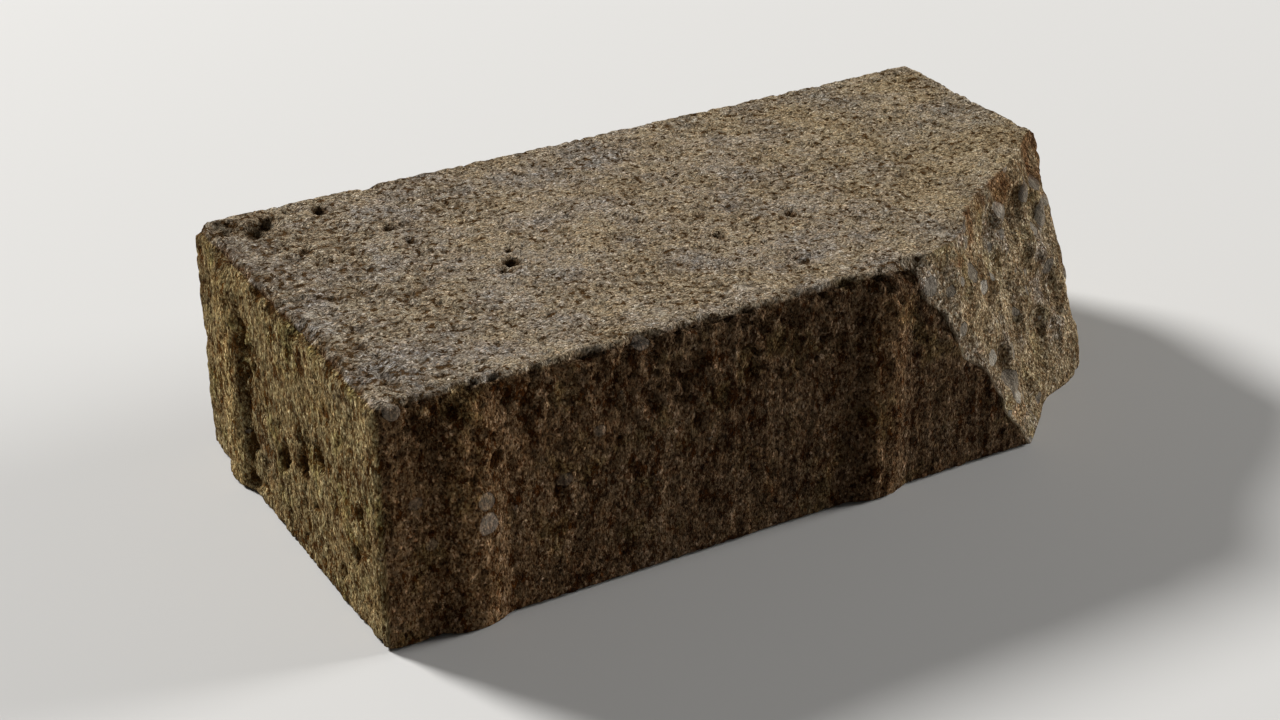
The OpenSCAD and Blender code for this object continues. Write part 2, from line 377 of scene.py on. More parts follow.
# %% [markdown]
# ## Grain
#
# The mix is a pile of granules with cement between them. Where the nearest and the second
# nearest seed are about as far, there is a seam between granules, so the gap of the two
# distances gives each granule its rounded body. Some granules have fallen out and left a hole.
# Granules stand a little taller than wide, as the mould was drawn off upwards.

# %% Granules
UPRIGHT = 0.7
COARSE_PITCH, COARSE_LOST = 3.4, 0.13
FINE_PITCH, FINE_LOST, FINE_SHIFT = 2.1, 0.16, 300

def granules(points, pitch, seed, lost):
    """Relief of packed granules: a body that rises from its seams, a step up or down of its
    own, and a hole where its number is under the share that is lost."""
    near, second, tone = strewn(points, pitch, seed)
    body = np.sqrt(np.clip((second - near) / (0.55 * pitch), 0, 1))
    hole = np.where(tone < lost, body, 0)
    return (body - 0.6) + 0.9 * (tone - 0.5), hole

tall = drawn_tall(skin, UPRIGHT)
coarse, coarse_hole = granules(tall + 0.5 * swell(skin, 3.0, 5)[:, None], COARSE_PITCH, 11, COARSE_LOST)
fine, fine_hole = granules(tall + FINE_SHIFT, FINE_PITCH, 23, FINE_LOST)
lumps = swell(skin, 30, 31) * 0.30 + swell(skin, 12, 37) * 0.22 + swell(skin, 6, 41) * 0.16
print("coarse granules from %.2f to %.2f" % (coarse.min(), coarse.max()))

# %% [markdown]
# ## Chips of the solid
#
# The packed solid has chips in its worn edges: hollows of balls, in rows along the edges, and
# a few single ones where the photo shows them. The skin takes the same balls, and bends space
# a little before it measures, so that no hollow is a clean bowl.

# %% Balls of the chips
CHIP_DEPTH, CHIP_PITCH, CHIP_RADIUS, CHIP_CLEARANCE, CHIP_TURN = 1.3, 13.0, 10.0, 12.0, 137.5
CHIP_BEND, CHIP_BEND_SIZE = 0.7, 4.5

def unit(*way):
    """Direction of length 1 along a way."""
    return np.array(way) / np.linalg.norm(way)

def chip(at, out, radius, depth):
    """Ball of a chip, as its centre and radius: it reaches to the depth behind its point."""
    return (*(np.array(at) + out * (radius - depth)), radius)

def chip_row(start, along, run, out, phase):
    """Balls along one edge: each stands unevenly in its share of the row, with an uneven radius
    and depth, all from the size of a sine that turns on by a fixed angle from chip to chip."""
    count = int(run // CHIP_PITCH)
    def uneven(number):
        """Share from 0 to 1 that jumps about from number to number."""
        return abs(np.sin(np.radians(CHIP_TURN * number + phase)))
    return [chip(np.array(start) + np.array(along) * run * (i + 0.25 + 0.5 * uneven(2 * i)) / count, out,
                 CHIP_RADIUS * (0.8 + 0.4 * uneven(3 * i)), CHIP_DEPTH * (0.3 + 0.7 * uneven(i)))
            for i in range(count)]

cut_back = ARRIS * (1 - np.sqrt(0.5))
edge_x, edge_y, edge_z = HALF_X - cut_back, HALF_Y - cut_back, HEIGHT - cut_back
reach_x, reach_y = edge_x - CHIP_CLEARANCE, edge_y - CHIP_CLEARANCE
break_right = -HALF_Y + UPPER_RUN * np.tan(BREAK_SLANT)
front_run = break_high[0] + edge_x - 2 * CHIP_CLEARANCE
right_run = edge_y - break_right - 2 * CHIP_CLEARANCE
row_balls = [
    *chip_row((-reach_x, -edge_y, edge_z), (1, 0, 0), front_run, unit(0, -1, 1), 40),
    *chip_row((-reach_x, edge_y, edge_z), (1, 0, 0), 2 * reach_x, unit(0, 1, 1), 155),
    *chip_row((-edge_x, -reach_y, edge_z), (0, 1, 0), 2 * reach_y, unit(-1, 0, 1), 290),
    *chip_row((edge_x, break_right + CHIP_CLEARANCE, edge_z), (0, 1, 0), right_run, unit(1, 0, 1), 75)]
single_balls = [
    chip((-HALF_X + 1, HALF_Y - 2, HEIGHT - 1), unit(-1, 1, 1), 9, 1.6),
    chip((-HALF_X + 7, HALF_Y - 9, HEIGHT), unit(-1, 1, 4), 6, 2.2),
    chip((-HALF_X + 11, HALF_Y - 12, HEIGHT), unit(1, -1, 4), 5, 2.6),
    chip((-HALF_X + 15, HALF_Y - 11, HEIGHT), unit(1, 2, 4), 4, 1.6),
    chip((-HALF_X + 0.5, -0.20 * HALF_Y, HEIGHT - 0.5), unit(-1, 0, 1), 6, 2.8),
    chip((-HALF_X + 1.5, -0.28 * HALF_Y, HEIGHT - 0.5), unit(-1, 0, 2), 5, 1.6),
    chip((break_high[0] - 2, -HALF_Y + 0.5, HEIGHT - 2), unit(0, -1, 1), 8, 1.8)]
print(len(row_balls), "chips in rows and", len(single_balls), "single ones")

# %% Struck chips
def struck(points, normals, balls):
    """Depth of the chips: a point inside a ball goes in along its normal until it meets the far
    side of that ball, which is the root of a quadratic, and the deepest ball counts."""
    bent = points + CHIP_BEND * np.stack([swell(points, CHIP_BEND_SIZE, 43 + k) for k in range(3)], -1)
    depth = np.zeros(len(points))
    for x, y, z, radius in balls:
        away = bent - (x, y, z)
        level = np.sum(away * normals, 1)
        under = level ** 2 + radius ** 2 - np.sum(away ** 2, 1)
        inside = np.sum(away ** 2, 1) < radius ** 2
        depth = np.maximum(depth, np.where(inside, level + np.sqrt(np.maximum(under, 0)), 0))
    return depth

row_chips, single_chips = struck(skin, facing, row_balls), struck(skin, facing, single_balls)
print("deepest chip %.1f mm in rows, %.1f mm single" % (row_chips.max(), single_chips.max()))

# %% [markdown]
# ## Marks that the photo shows
#
# Some holes and stones can be told apart on the real brick, so they have their own places, in
# millimetres. Most places were read off the photo, and the rest are spread between them. A
# hole has a centre, a radius and a depth. On the left end a rough groove runs up at the foot
# of the rib, and a short cleft lies near the bed: both are rows of holes that run together.

# %% Holes
WALK_HOLES = [
    (-75.8, 42.8, 2.2, 1.4), (-46.5, 0.5, 1.5, 1.6), (-48.8, -5.0, 2.0, 2.0), (-51.9, -8.2, 2.0, 1.6),
    (-75.1, 32.6, 1.6, 1.2), (-66.0, 25.3, 1.8, 1.2), (-64.3, 16.7, 1.7, 1.1), (-87.5, 24.0, 1.9, 1.2),
    (-92.0, -1.8, 1.5, 1.0), (-95.9, -25.6, 1.9, 1.1), (-69.6, -39.3, 1.4, 0.9), (1.3, -5.4, 1.7, 1.0),
    (20.8, -14.8, 2.0, 1.2), (-0.2, -17.5, 1.8, 1.1), (9.1, -38.5, 1.7, 1.2), (56.6, -10.2, 1.6, 0.9)]
LEFT_HOLES = [
    (4.5, 59.5, 2.6, 1.7), (12.0, 59.5, 2.6, 1.5), (2.6, 20.0, 2.6, 2.4), (-10.0, 25.2, 2.7, 2.6),
    (-19.6, 31.5, 2.5, 2.2), (21.5, 15.9, 2.4, 2.0), (-9.5, 31.4, 1.7, 1.6), (20.0, 39.5, 1.6, 1.2),
    (17.5, 36.9, 1.5, 1.1), (-38.0, 17.0, 1.6, 1.5), (-30.0, 9.0, 1.5, 1.3), (-42.0, 30.0, 1.5, 1.4),
    (-45.0, 22.0, 1.4, 1.4), (-16.0, 18.0, 1.3, 1.2), (12.0, 27.0, 1.3, 1.2)]
FRONT_HOLES = [
    (-78.2, -54.6, 41.7, 1.9, 1.4), (-62.9, -52.5, 28.3, 1.6, 1.2), (-47.9, -52.5, 36.3, 1.6, 1.2),
    (-27.4, -52.5, 35.4, 1.6, 1.1)]
BREAK_HOLES = [
    (84.0, -22.0, 47.0, 2.4, 0.5), (80.0, -27.5, 42.0, 2.2, 0.5), (66.0, -37.5, 42.5, 2.2, 0.6),
    (90.5, -22.0, 38.0, 2.4, 0.6), (74.0, -35.0, 36.0, 2.2, 0.6)]
cleft = [(-HALF_X, 34.6 - 19.8 * t, 2.8 + 2.6 * t, 1.3, 1.1) for t in np.linspace(0, 1, 16)]
groove = [(-HALF_X, 22.3 + 0.9 * np.sin(1.9 * z), z, 1.3 + 0.5 * np.sin(1.3 * z), 1.0 + 0.6 * np.sin(0.8 * z))
          for z in np.linspace(5, 47, 22)]
holes_placed = [*[(x, y, HEIGHT, radius, depth) for x, y, radius, depth in WALK_HOLES],
                *[(-HALF_X, y, z, radius, depth) for y, z, radius, depth in LEFT_HOLES],
                *FRONT_HOLES, *BREAK_HOLES, *cleft, *groove]

def dents(points, marks):
    """Depth of listed holes at each point: depth times one minus the squared share of the
    radius, with an uneven radius and some length along the height, and the deepest counts."""
    uneven = np.maximum(1 + 0.75 * swell(points, 2.8, 53) + 0.35 * swell(points, 1.6, 59), 0.3)
    depth = np.zeros(len(points))
    for x, y, z, radius, deep in marks:
        share = np.linalg.norm(drawn_tall(points - (x, y, z), UPRIGHT), axis=1) / (radius * uneven)
        depth = np.maximum(depth, deep * np.clip(1 - share * share, 0, 1) ** 0.7)
    return depth

dented = dents(skin, holes_placed)
print(len(holes_placed), "holes, deepest %.1f mm" % dented.max())

# %% [markdown]
# Stones of the mix show in the fracture and here and there on the faces. Each is a smooth
# pebble, so the grain fades out on it. It has a centre, a radius and a tone from dark to pale.
# Its rim is stored as a distance, which stays sharp in the material even though the points are
# almost a millimetre apart. Smaller stones are strewn between, and are largest in the fracture.

# %% Stones
BREAK_STONES = [
    (53.1, -43.3, 47.8, 3.2, 0.25), (35.4, -51.4, 52.1, 2.6, 0.35), (88.9, -18.1, 51.7, 3.6, 0.40),
    (97.8, -15.1, 42.7, 4.2, 0.45), (65.5, -46.8, 16.0, 3.6, 0.20), (61.8, -38.3, 43.5, 2.0, 0.55),
    (46.1, -50.6, 38.0, 2.2, 0.30), (69.6, -41.8, 21.8, 2.6, 0.35), (75.2, -26.2, 51.5, 2.4, 0.50),
    (97.0, -12.9, 49.9, 2.8, 0.30), (84.0, -27.0, 33.0, 2.4, 0.60), (77.0, -36.5, 28.0, 2.1, 0.45),
    (90.0, -25.5, 25.0, 2.8, 0.35), (60.5, -44.0, 33.5, 2.3, 0.65), (70.0, -33.5, 47.0, 2.0, 0.40),
    (98.5, -24.5, 12.0, 2.6, 0.50)]
FRONT_STONES = [
    (-81.3, -54.8, 26.5, 2.7, 1.00), (-81.6, -54.8, 32.4, 2.2, 0.80), (-61.4, -52.5, 30.3, 1.8, 0.15),
    (-101.0, -52.0, 58.5, 2.2, 0.85), (-97.0, -52.5, 35.3, 1.6, 0.15), (-93.7, -52.5, 24.3, 1.6, 0.10),
    (-42.2, -52.0, 59.0, 2.2, 0.90), (-52.8, -52.5, 40.3, 1.6, 0.10)]
WALK_STONES = [
    (-76.5, 9.0, 2.1, 0.15), (-43.9, -3.3, 2.3, 0.45), (-93.5, -4.2, 1.4, 0.60), (-99.9, -7.2, 2.2, 0.95),
    (14.9, -46.1, 1.4, 0.90), (-10.5, -43.6, 2.0, 0.80), (-32.9, -44.1, 2.2, 0.80), (-79.9, -41.1, 2.2, 0.50),
    (43.9, -43.2, 1.6, 0.80), (-15.0, 20.0, 1.5, 0.45), (30.0, 12.0, 1.4, 0.50), (60.0, 30.0, 1.6, 0.40),
    (-30.0, 38.0, 1.5, 0.70), (85.0, 18.0, 1.3, 0.65), (-60.0, -20.0, 1.3, 0.45)]
SMALL_PITCH, FAR_OFF = 6.5, -9.0
stones_placed = [*BREAK_STONES, *FRONT_STONES,
                 *[(x, y, HEIGHT, radius, tone) for x, y, radius, tone in WALK_STONES]]

def stones(points, marks):
    """Signed distance into the nearest stone's rim, and that stone's tone: the radius, bent a
    little by noise, less the distance from its centre, and the largest counts."""
    bend = 1 + 0.38 * swell(points, 3.4, 61)
    inside, tone = np.full(len(points), FAR_OFF), np.zeros(len(points))
    for x, y, z, radius, shade in marks:
        d = radius * bend - np.linalg.norm(points - (x, y, z), axis=1)
        tone = np.where(d > inside, shade, tone)
        inside = np.maximum(inside, d)
    return inside, tone

stone_rim, stone_tone = stones(skin, stones_placed)
small_near, _, small_tone = strewn(skin + 0.4 * swell(skin, 2.0, 67)[:, None], SMALL_PITCH, 71)
small_rim = (0.6 + 1.9 * np.clip(small_tone * 2 - 1, 0, 1)) * (0.35 + 0.65 * broken) - small_near
stone_tone = np.where(small_rim > stone_rim, (small_tone * 7.3) % 1, stone_tone)
stone_rim = np.maximum(stone_rim, np.where(small_tone > 0.5, small_rim, FAR_OFF))
on_stone = ease(-0.3, 0.5, stone_rim)
print(int((stone_rim > 0).sum()), "points lie on stones")

# %% [markdown]
# ## All relief together
#
# The walking face is rubbed down, so what would stand up is cut off and only holes remain.
# The long sides have caverns between the granules of their upper band, and were dragged
# against the mould, which left upright scores near the broken end. The upper edges crumble a
# little all along, and more where a slow and a quick noise are high. Each kind of surface has
# its own sum of these fields, in millimetres, and the weights of the kinds blend the sums.

# %% Fields of wear
within = inside_rim(*in_plane(skin)) * broken
scores = swell(drawn_tall(skin, 0.05), 1.7, 73) * ease(-10, 25, skin[:, 0]) * sided
upper_band = ease(30, 54, skin[:, 2] + 6 * swell(skin, 20, 75)) * sided
caverns = ease(0.10, 0.40, swell(drawn_tall(skin, 0.8), 3.8, 77) + 0.5 * swell(skin, 2.0, 78))
ridges = 1 - 2.4 * np.abs(swell(drawn_tall(skin, 0.6), 8, 85)) + 0.7 * swell(drawn_tall(skin, 0.7), 5, 89)
chipped = ease(0.15, 0.9, edge) * (skin[:, 2] > HEIGHT / 2)
slow_chips, quick_chips = ease(-0.05, 0.6, swell(skin, 6.5, 79)), ease(0.05, 0.5, swell(skin, 2.8, 83))
chips = chipped * (0.15 + 0.6 * slow_chips + 0.8 * quick_chips)
rough_end = ease(-55, -100, skin[:, 0])
print("upper band holds", int((upper_band > 0.5).sum()), "points")

# %% Relief
RUBBED_LEVEL, FOOT_BAND, FOOT_SHARE = 0.08, 0.5, 0.4
walk_relief = (np.minimum(0.20 * coarse + 0.22 * fine + 0.5 * lumps, RUBBED_LEVEL)
               - (0.35 + 0.5 * rough_end) * coarse_hole - 0.5 * fine_hole)
side_relief = ((0.14 + 0.28 * upper_band) * coarse + 0.26 * fine + 0.5 * lumps
               - 1.1 * caverns * (0.06 + 0.94 * upper_band)
               - (0.15 + 0.35 * upper_band) * coarse_hole + 0.35 * scores)
end_relief = 0.26 * coarse + 0.20 * fine + 0.8 * lumps - 0.5 * coarse_hole - 0.4 * fine_hole
inner_relief = 0.40 * coarse + 0.28 * fine + 0.5 * lumps + within * (1.0 * ridges - 0.5)
bed_relief = 0.10 * coarse + 0.3 * lumps - 0.4 * coarse_hole
relief = (walked * walk_relief + sided * side_relief + ended * end_relief
          + broken * inner_relief + bedded * bed_relief) / (walked + sided + ended + broken + bedded)
stone_relief = 0.10 + broken * (0.15 + 0.6 * within * (ridges - 0.5))
relief = relief * (1 - 0.6 * on_stone) + on_stone * stone_relief
relief = relief - np.maximum(np.maximum(dented, row_chips), single_chips) - chips
relief[skin[:, 2] < FOOT_BAND] *= FOOT_SHARE
shaped = skin + facing * relief[:, None]
shaped[:, 2] = np.maximum(shaped[:, 2], 0)
print("relief from %.2f to %.2f mm" % (relief.min(), relief.max()))

# %% [markdown]
# What the material needs to know travels with the points: the kind of surface, how deep a
# place lies, which the material darkens with dirt and painted shade, and the stones. Stains
# gather along the fracture's upper rim and right side. The fracture has a pale lip along the
# front with a painted highlight on it, the crests of the ribs are rubbed paler and carry a
# painted highlight, and a chipped edge has lost the colour of the walking face.

# %% Values of the skin
# How low each place lies, which the material darkens: partly dirt, partly painted shade.
low_places = dented / 1.5 + single_chips / 6.0 + 0.28 * caverns * upper_band
lost_places = 0.25 * coarse_hole * (walked + ended + 0.5 * sided * upper_band)
hollow = np.clip(low_places + lost_places, 0, 1) * (1 - on_stone) * (1 - 0.75 * broken)
rim_stain = np.exp(-np.abs(behind) / 1.5) * ease(46, 58, skin[:, 2]) * ease(34, 50, skin[:, 0])
right_stain = ease(90, 104, skin[:, 0]) * broken
stain = np.clip((rim_stain + 0.7 * right_stain) * (0.55 + 0.8 * swell(skin, 9, 97)), 0, 1)
break_across, break_height = in_plane(skin)
# Pale lip along the fracture's front: partly pale material, partly a painted highlight.
lip = broken * ease(5.0, 0.5, break_across - break_shift * break_height / break_rise + 2 * swell(skin, 5, 99))
# Height of the rib crests, which the material paints paler: partly wear, partly a painted highlight.
crest = np.where(sided > ended, long_rib(-np.sign(facing[:, 1]) * skin[:, 0], skin[:, 2]),
                 end_rib(np.sign(facing[:, 0]) * skin[:, 1], skin[:, 2])) / RIB_PROUD * (sided + ended)
rubbed_top = walked * (1 - 0.85 * ease(0.25, 0.9, chips + row_chips))
skin_values = {"walked": rubbed_top, "ended": ended, "broken": broken, "hollow": hollow, "stain": stain,
               "stone_rim": stone_rim, "stone_tone": stone_tone, "rough": rough_end * walked, "lip": lip,
               "crest": crest}
print("values on the points:", ", ".join(skin_values))

# %% Mesh
mesh = bpy.data.meshes.new("brick_skin")
mesh.from_pydata((shaped * MM).tolist(), [], quads.tolist() + strip.tolist())
for name, values in skin_values.items():
    mesh.attributes.new(name, "FLOAT", "POINT").data.foreach_set("value", values.astype(np.float32))
mesh.shade_smooth()
mesh.update()
brick = bpy.data.objects.new("brick_skin", mesh)
bpy.context.scene.collection.objects.link(brick)
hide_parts("brick")
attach(brick, "root")
walls = np.concatenate([np.stack([faces, np.roll(faces, -1, 1)], -1).reshape(-1, 2)
                        for faces in (quads, strip)])
uses = np.unique(np.sort(walls, 1), axis=0, return_counts=True)[1]
print("faces on each edge: from", uses.min(), "to", uses.max())

# %% [markdown]
# ## Shader sums
#
# A material is a net of nodes. Writing it as sums is easier to read, so one small class stands
# for a node's output and adds Math nodes when it is added or multiplied.

# %% Wires
class Wire:
    """An output of a shader node. Sums on it add Math nodes, and node() adds any other node."""
    tree = None

    def __init__(self, socket):
        self.socket = socket

    @classmethod
    def node(cls, kind, settings=None, inputs=None, out=0):
        """Adds a node, sets its settings, then its inputs by value or by wire."""
        made = cls.tree.nodes.new(kind)
        for key, value in (settings or {}).items():
            if key == "stops":
                for _ in range(len(value) - len(made.color_ramp.elements)):
                    made.color_ramp.elements.new(0.5)
                for stop, (place, colour) in zip(made.color_ramp.elements, value):
                    stop.position, stop.color = place, (*colour, 1)
            else:
                setattr(made, key, value)
        for key, value in (inputs or {}).items():
            if isinstance(value, Wire):
                cls.tree.links.new(value.socket, made.inputs[key])
            else:
                made.inputs[key].default_value = value
        return cls(made.outputs[out]) if made.outputs else made

    @staticmethod
    def sum(operation, first, second):
        """Math node that joins two values or wires."""
        return Wire.node("ShaderNodeMath", {"operation": operation}, {0: first, 1: second})

    def __add__(self, other):
        return self.sum("ADD", self, other)

    def __sub__(self, other):
        return self.sum("SUBTRACT", self, other)

    def __rsub__(self, other):
        return self.sum("SUBTRACT", other, self)

    def __mul__(self, other):
        return self.sum("MULTIPLY", self, other)

    __radd__ = __add__
    __rmul__ = __mul__

print("wires know", ", ".join(name for name in vars(Wire) if name.endswith(("add__", "sub__", "mul__"))))

# %% [markdown]
# A few more helpers name the nodes that are used often. Noise and cells are told how many
# there are to the metre.

# %% Nodes used often
def attribute(name):
    """A value that travels with the skin's points."""
    return Wire.node("ShaderNodeAttribute", {"attribute_name": name}, out=2)

def between(wire, low, high):
    """Smooth step of a wire from low to high."""
    return Wire.node("ShaderNodeMapRange", {"interpolation_type": "SMOOTHSTEP"}, {0: wire, 1: low, 2: high})

def larger(first, second):
    """The larger of two wires."""
    return Wire.sum("MAXIMUM", first, second)

def mixed(share, first, second, blend="MIX"):
    """Two colours mixed by a share."""
    settings = {"data_type": "RGBA", "blend_type": blend}
    return Wire.node("ShaderNodeMix", settings, {0: share, 6: first, 7: second}, out=2)

def tinted(share, colour, tint):
    """A colour multiplied by a tint, as far as the share goes."""
    return mixed(share, colour, tint, "MULTIPLY")

def ramp(wire, *stops):
    """A wire turned into colours between stops."""
    return Wire.node("ShaderNodeValToRGB", {"stops": stops}, {0: wire})

def axis(vector, out):
    """One coordinate of a vector: 0, 1 or 2 for x, y or z."""
    return Wire.node("ShaderNodeSeparateXYZ", {}, {0: vector}, out=out)

def joined(x, y, z):
    """Vector of three coordinates."""
    return Wire.node("ShaderNodeCombineXYZ", {}, {0: x, 1: y, 2: z})

def noise(place, scale, detail=3.0, rough=0.55):
    """Cloudy noise of about 0 to 1."""
    inputs = {"Vector": place, "Scale": scale, "Detail": detail, "Roughness": rough}
    return Wire.node("ShaderNodeTexNoise", {}, inputs)

def cell(place, scale, out=0):
    """Distance to the nearest strewn seed, or its random colour with out at 1."""
    return Wire.node("ShaderNodeTexVoronoi", {}, {"Vector": place, "Scale": scale}, out=out)

concrete = bpy.data.materials.new("weathered_concrete")
concrete.use_nodes = True
Wire.tree = concrete.node_tree
Wire.tree.nodes.clear()
where = Wire.node("ShaderNodeTexCoord", out=3)
print("the net of", concrete.name, "starts with", len(Wire.tree.nodes), "node")

# %% [markdown]
# ## Weathered concrete
#
# Each kind of surface has its own run of colours: greyish tan on the walking face, dark brown
# on the long sides, darkened partly by painted shade, yellow ochre on the ends and pale beige
# inside. A cloudy noise picks from the run.

# %% Colours of the faces
on_walk, on_end, on_break = attribute("walked"), attribute("ended"), attribute("broken")
off_walk, off_break = 1 - on_walk, 1 - on_break
patches = noise(where, 60.0, 5.0, 0.68)
walk_colour = ramp(patches, (0.30, (0.292, 0.259, 0.219)), (0.45, (0.346, 0.285, 0.209)),
                   (0.58, (0.370, 0.293, 0.189)), (0.72, (0.316, 0.239, 0.148)))
# Dark brown of the long sides: partly their own colour, partly painted shade.
side_colour_and_shade = ramp(patches, (0.32, (0.123, 0.077, 0.041)), (0.50, (0.141, 0.091, 0.050)),
                   (0.70, (0.165, 0.110, 0.064)))
end_colour = ramp(patches, (0.32, (0.262, 0.199, 0.107)), (0.50, (0.311, 0.242, 0.117)),
                  (0.70, (0.325, 0.236, 0.115)))
break_colour = ramp(patches, (0.34, (0.362, 0.312, 0.244)), (0.45, (0.348, 0.276, 0.172)),
                    (0.56, (0.374, 0.294, 0.178)), (0.68, (0.262, 0.188, 0.104)))
ground = mixed(on_end, side_colour_and_shade, end_colour)
ground = mixed(on_walk, ground, walk_colour)
ground = mixed(on_break, ground, break_colour)
print("ground colours take", len(Wire.tree.nodes), "nodes")

# %% [markdown]
# Weather and use have worked on that ground. Lime has bloomed pale on the walking face and in
# the fracture, and along its lip the pale is partly lime and partly a painted highlight. The
# walking face is browner towards the broken end and greyer towards the other, where painted light
# makes the long sides lighter. The crests of the ribs are painted paler, partly rubbed wear and
# partly a painted highlight. Thin moss and rust tint all but the walking face, and the fracture
# has dark and pale blotches.

# %% Weather and painted light
LIME_AND_HIGHLIGHT = (0.345, 0.315, 0.270, 1)
BROWNER, GREYER, PAINTED_LIGHT = (1.0, 0.985, 0.91, 1), (1.02, 1.05, 1.11, 1), (1.40, 1.36, 1.27, 1)
RUBBED_AND_HIGHLIGHT, MOSSY, RUSTY = (1.45, 1.42, 1.34, 1), (0.92, 1.02, 0.62, 1), (1.02, 0.82, 0.66, 1)
lengthwise = axis(where, 0)
bloom = between(noise(where, 48.0, 4.0, 0.6), 0.56, 0.70) * (on_walk + on_break) * 0.5
# Pale lime blooms here; along the lip the pale is partly lime and partly a painted highlight.
ground = mixed(bloom + attribute("lip") * 0.35, ground, LIME_AND_HIGHLIGHT)
ground = tinted(between(lengthwise, 0.0, 0.08) * on_walk, ground, BROWNER)
ground = tinted(between(lengthwise, -0.04, -0.10) * on_walk, ground, GREYER)
# Painted light: the long sides are lighter towards the end away from the fracture.
painted_lighter = between(lengthwise, -0.03, -0.10) * off_walk * (1 - on_end) * off_break
ground = tinted(painted_lighter, ground, PAINTED_LIGHT)
# Rib crests painted paler: partly rubbed wear, partly a painted highlight.
ground = tinted(between(attribute("crest"), 0.45, 0.95) * off_walk * (1 - painted_lighter * 0.7), ground, RUBBED_AND_HIGHLIGHT)
moss = between(noise(where, 75.0, 4.0, 0.65), 0.52, 0.66) * off_walk * (0.45 - on_break * 0.2)
ground = tinted(moss, ground, MOSSY)
ground = tinted(between(noise(where, 130.0, 4.0, 0.65), 0.44, 0.32) * off_walk * 0.5, ground, RUSTY)
blotches = ramp(noise(where, 110.0, 3.0, 0.6), (0.36, (0.72, 0.66, 0.59)), (0.50, (1.0, 1.0, 1.0)),
                (0.62, (1.20, 1.19, 1.17)))
ground = tinted(on_break, ground, blotches)
print("with the weather", len(Wire.tree.nodes), "nodes")

# %% [markdown]
# The mould was drawn off upwards, so grains on the sides and ends are longer than wide, and
# those of the fracture a little. Their coordinates are pressed together along the height, about
# the walking face, where nothing changes. A fine noise bends the cells, so that no grain is a
# clean polygon. Cells give the grains their bodies, and the low places of a rough noise are the
# holes between.

# %% Grains
PEBBLES, GRIT, SAND = 900.0, 1700.0, 2800.0
WOBBLE = (0.0005, 0.0005, 0.0005)
walk_level = HEIGHT * MM
pressed = (axis(where, 2) - walk_level) * (0.60 - on_end * 0.05 + on_break * 0.20) + walk_level
drawn = joined(lengthwise, axis(where, 1), pressed)
wobble = Wire.node("ShaderNodeTexNoise", {}, {"Vector": drawn, "Scale": 1100.0, "Detail": 2.0}, out=1)
bent = Wire.node("ShaderNodeVectorMath", {"operation": "MULTIPLY_ADD"}, {0: wobble, 1: WOBBLE, 2: drawn})
pebbly, gritty, sandy = cell(bent, PEBBLES), cell(bent, GRIT), cell(bent, SAND)
pitting, crumbs = noise(drawn, 620.0, 2.0, 0.5), noise(drawn, 1900.0, 2.0, 0.5)
gaps = noise(drawn, 450.0, 6.0, 0.82)
crowding = (noise(where, 90.0) - 0.5) * 0.26 + attribute("rough") * 0.045
coarse_share = 0.55 - on_walk * 0.40 + on_end * 0.10 - on_break * 0.10
holes = (between(pitting + (gaps - 0.5) * 0.8 - crowding, 0.390, 0.355)
         * (0.3 + on_walk * 0.7 + on_end * 0.5))
clefts = between(gaps - pebbly * 0.04 - crowding, 0.445, 0.405) * (1 - on_walk * 0.35 - on_break * 0.3)
seams = between(pebbly, 0.50, 0.78) * coarse_share
specks = between(crumbs, 0.47, 0.40) * (1 - on_walk * 0.3)
print("with the grains", len(Wire.tree.nodes), "nodes")

# %% [markdown]
# Each grain has a shade of its own: a few are very dark or almost white, and most are near the
# ground. Off the walking face the shades count more, and on the sides and ends the mould has
# dragged upright streaks. The high places of the pitting are paler, partly bleached and partly a
# painted highlight.

# %% Grain colours
BLEACHED_AND_HIGHLIGHT = (1.10, 1.15, 1.24, 1)

def shade_of(scale, out):
    """Random number of each cell, taken from one channel of its random colour."""
    return Wire.node("ShaderNodeSeparateColor", {}, {0: cell(bent, scale, out=1)}, out=out)

grain_tint = ramp(shade_of(GRIT, 0), (0.0, (0.46, 0.44, 0.42)), (0.14, (0.82, 0.80, 0.78)),
                  (0.50, (1.00, 0.99, 0.97)), (0.86, (1.17, 1.16, 1.14)), (0.97, (1.68, 1.72, 1.84)))
grain_hue = ramp(shade_of(GRIT, 1), (0.0, (1.05, 0.97, 0.90)), (0.5, (1.0, 1.0, 1.0)),
                 (1.0, (0.97, 1.0, 1.03)))
sand_tint = ramp(shade_of(SAND, 0), (0.0, (0.54, 0.52, 0.50)), (0.5, (1.0, 1.0, 1.0)),
                 (1.0, (1.50, 1.51, 1.55)))
upright = joined(lengthwise, axis(where, 1), axis(where, 2) * 0.06)
drag_tint = ramp(noise(upright, 420.0, 3.0, 0.6), (0.36, (0.77, 0.75, 0.72)), (0.50, (1.0, 1.0, 1.0)),
                 (0.64, (1.23, 1.23, 1.21)))
speckled = tinted(1.0, tinted(1.0, ground, grain_tint), grain_hue)
speckled = tinted(1 - on_walk * 0.4, speckled, sand_tint)
speckled = tinted(off_walk * (0.4 - on_end * 0.3), speckled, grain_tint)
speckled = tinted(off_walk * off_break, speckled, drag_tint)
# Painted highlight, partly bleaching: paler where the pitting noise, also a height of the bump, is high.
speckled = tinted(between(pitting, 0.50, 0.64), speckled, BLEACHED_AND_HIGHLIGHT)
print("with the grain colours", len(Wire.tree.nodes), "nodes")

# %% [markdown]
# Dirt and painted shade darken every low place: the fine holes, clefts, seams and specks, and
# the larger hollows that the skin itself has. It is browner off the walking face, and painted
# shade makes it darkest at the bottom of the deepest hollows.

# %% Dirt and painted shade in the low places
SIDE_DIRT_AND_SHADE, WALK_DIRT_AND_SHADE, DEEP_PAINTED_SHADE = (0.26, 0.145, 0.060, 1), (0.24, 0.165, 0.098, 1), (0.32, 0.27, 0.22, 1)
